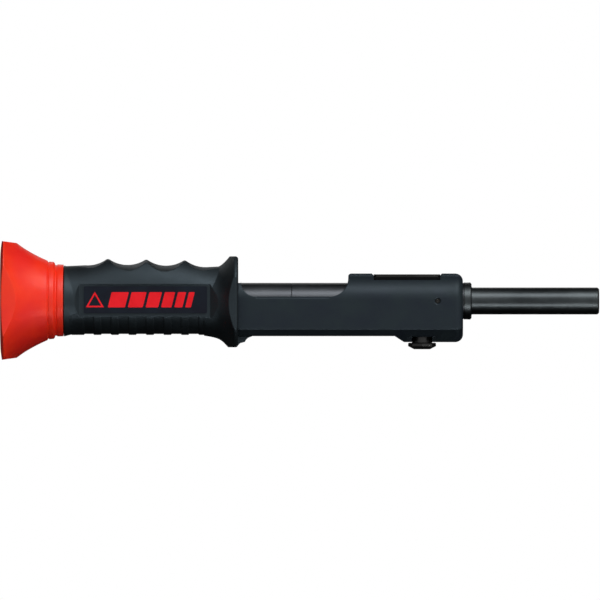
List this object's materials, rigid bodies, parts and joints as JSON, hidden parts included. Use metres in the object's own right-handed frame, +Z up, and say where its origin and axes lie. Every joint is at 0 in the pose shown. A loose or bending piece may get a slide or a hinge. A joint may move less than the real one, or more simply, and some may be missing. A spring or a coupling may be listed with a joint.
{
  "type": "powder-actuated fastening tool",
  "caption": "Hand-held powder-actuated fastening tool struck by a hammer, with slide-open barrel, window for the load, flared strike guard and ribbed grip.",
  "frame": {"origin": "centre of the muzzle face", "axes": "+X along the bore, out of the muzzle; +Z up, on the side of the finger ridges and loading window; +Y across"},
  "size_m": [0.368, 0.073, 0.0731],
  "materials": {
    "orange_guard": "satin moulded orange-red nylon",
    "black_rubber": "moulded black rubber",
    "label": "dark navy plate, satin",
    "housing": "dark blue-grey coated casting",
    "zinc_steel": "zinc-plated turned steel",
    "dark_steel": "black-oxide steel",
    "spring_steel": "ground spring steel",
    "bronze": "sintered bronze",
    "black_plastic": "glass-filled nylon",
    "barrel_steel": "ground steel",
    "muzzle_steel": "black-oxide turned steel",
    "buffer_rubber": "polyurethane buffer"
  },
  "bodies": {
    "root": {"strike_guard": "orange_guard", "grip": "black_rubber", "label_plate_left": "label", "label_plate_right": "label", "receiver": "housing", "end_plug": "zinc_steel", "guide_bush": "bronze", "grub_screws": "dark_steel", "leaf_spring": "spring_steel", "leaf_screws": "zinc_steel", "friction_shoe": "black_plastic", "breech_stop_pin": "zinc_steel", "pawl_bush": "dark_steel", "striker_spring": "spring_steel", "firing_pin_spring": "spring_steel", "breech_spring": "spring_steel", "pawl_spring": "spring_steel"},
    "striker": {"striker_cap": "zinc_steel", "striker": "zinc_steel"},
    "firing_pin": {"firing_pin": "zinc_steel"},
    "breech": {"breech_block": "barrel_steel"},
    "barrel": {"barrel_body": "barrel_steel", "muzzle_tube": "muzzle_steel", "muzzle_collar": "muzzle_steel", "piston_buffer": "buffer_rubber"},
    "piston": {"piston": "zinc_steel", "piston_rings": "spring_steel"},
    "latch": {"pawl": "zinc_steel", "knob_screw": "zinc_steel"},
    "knob": {"pawl_knob": "black_plastic"}
  },
  "joints": [
    {"name": "striker_slide", "type": "slide", "parent": "root", "child": "striker", "axis": [1, 0, 0], "range_m": [0, 0.005], "stiffness_N_per_m": 1500, "springref_m": -0.004, "deforming": ["striker_spring"]},
    {"name": "firing_pin_slide", "type": "slide", "parent": "root", "child": "firing_pin", "axis": [1, 0, 0], "range_m": [0, 0.005], "deforming": ["firing_pin_spring"]},
    {"name": "breech_slide", "type": "slide", "parent": "root", "child": "breech", "axis": [1, 0, 0], "range_m": [-0.003, 0], "stiffness_N_per_m": 4000, "springref_m": 0.004, "deforming": ["breech_spring", "firing_pin_spring"]},
    {"name": "barrel_slide", "type": "slide", "parent": "breech", "child": "barrel", "axis": [1, 0, 0], "range_m": [0, 0.038]},
    {"name": "piston_slide", "type": "slide", "parent": "barrel", "child": "piston", "axis": [1, 0, 0], "range_m": [0, 0.0665]},
    {"name": "latch_pull", "type": "slide", "parent": "root", "child": "latch", "axis": [0, 0, -1], "range_m": [0, 0.0032], "stiffness_N_per_m": 2500, "springref_m": -0.004, "deforming": ["pawl_spring"]},
    {"name": "knob_turn", "type": "hinge", "parent": "latch", "child": "knob", "pos_m": [-0.1089, 0, -0.0257], "axis": [0, 0, 1], "range_deg": [0, 90]}
  ],
  "couplings": [
    {"joint": "firing_pin_slide", "follows": "striker_slide", "ratio": 1}
  ]
}
